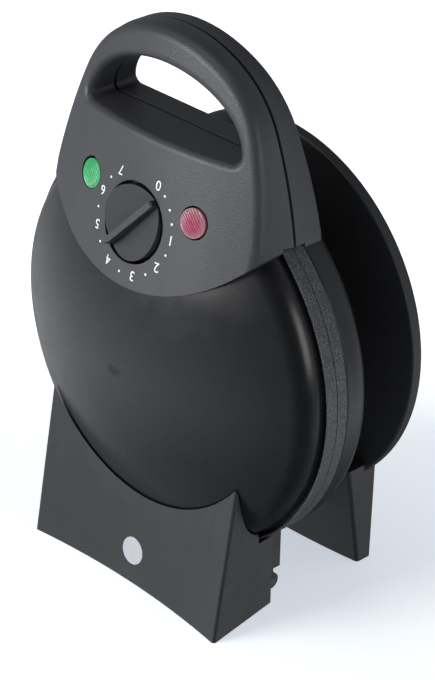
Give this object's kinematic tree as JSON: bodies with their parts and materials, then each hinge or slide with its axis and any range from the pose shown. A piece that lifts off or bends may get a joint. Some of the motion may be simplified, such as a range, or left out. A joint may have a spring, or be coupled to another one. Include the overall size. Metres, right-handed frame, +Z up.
{
  "type": "donut maker",
  "caption": "Round clamshell ring-cake maker standing on end: hinged lid, two heated pocket plates, loop handle, dial thermostat and signal lights.",
  "frame": {"origin": "on the floor, under the middle of the bounding box, with the object standing on its two feet", "axes": "+Z up, -Y towards the front of the lid with its dial, +X to the right of someone facing the dial"},
  "size_m": [0.21, 0.1194, 0.2915],
  "materials": {
    "panel_plastic": "fine textured dark grey plastic",
    "cover_plastic": "smooth satin black moulding",
    "foot_plastic": "fine textured near-black plastic",
    "liner_plastic": "plain black plastic",
    "nonstick_aluminium": "dark speckled non-stick coating on cast aluminium",
    "element_steel": "heat-tinted sheathed tube",
    "shield_steel": "plain galvanised sheet",
    "fastener_steel": "zinc-plated",
    "knob_plastic": "fine textured near-black plastic",
    "green_cap": "ribbed translucent cap",
    "red_cap": "ribbed translucent cap",
    "lamp_glass": "clear",
    "badge_plastic": "plain white disc with no print",
    "pad_rubber": "matte",
    "insulator_plastic": "cream heat-proof plastic",
    "wire_insulation": "woven heat-proof sleeve"
  },
  "bodies": {
    "base": {"base_cover": "cover_plastic", "base_grip": "panel_plastic", "base_grip_cover": "liner_plastic", "base_grip_screws": "fastener_steel", "lower_plate": "nonstick_aluminium", "lower_element": "element_steel", "base_heat_shield": "shield_steel", "base_tie_post": "fastener_steel", "base_column": "foot_plastic", "base_disc": "foot_plastic", "base_screws": "fastener_steel", "back_foot": "foot_plastic", "back_foot_screws": "fastener_steel", "foot_pads": "pad_rubber", "hinge_bracket": "foot_plastic", "hinge_pin": "fastener_steel", "cord_gland": "pad_rubber", "terminal_block": "insulator_plastic", "thermal_fuse": "insulator_plastic", "base_wires": "wire_insulation"},
    "lid": {"lid_cover": "cover_plastic", "control_panel": "panel_plastic", "lid_grip_cover": "liner_plastic", "lid_grip_screws": "fastener_steel", "upper_plate": "nonstick_aluminium", "upper_element": "element_steel", "lid_heat_shield": "shield_steel", "lid_tie_post": "fastener_steel", "front_foot": "foot_plastic", "badge": "badge_plastic", "lid_hinge": "foot_plastic", "hinge_screws": "fastener_steel", "green_lens": "green_cap", "red_lens": "red_cap", "indicator_lamps": "lamp_glass", "thermostat": "insulator_plastic", "thermostat_screws": "fastener_steel", "lid_wires": "wire_insulation"},
    "knob": {"knob": "knob_plastic", "knob_spindle": "fastener_steel"}
  },
  "joints": [
    {"name": "lid_hinge", "type": "hinge", "parent": "base", "child": "lid", "pos_m": [0, -0.00225, 0.0058], "axis": [1, 0, 0], "range_deg": [0, 100]},
    {"name": "knob_turn", "type": "hinge", "parent": "lid", "child": "knob", "pos_m": [0, -0.04805, 0.201], "axis": [0, -0.9711, 0.2385], "range_deg": [-105.8, 192.6]}
  ]
}
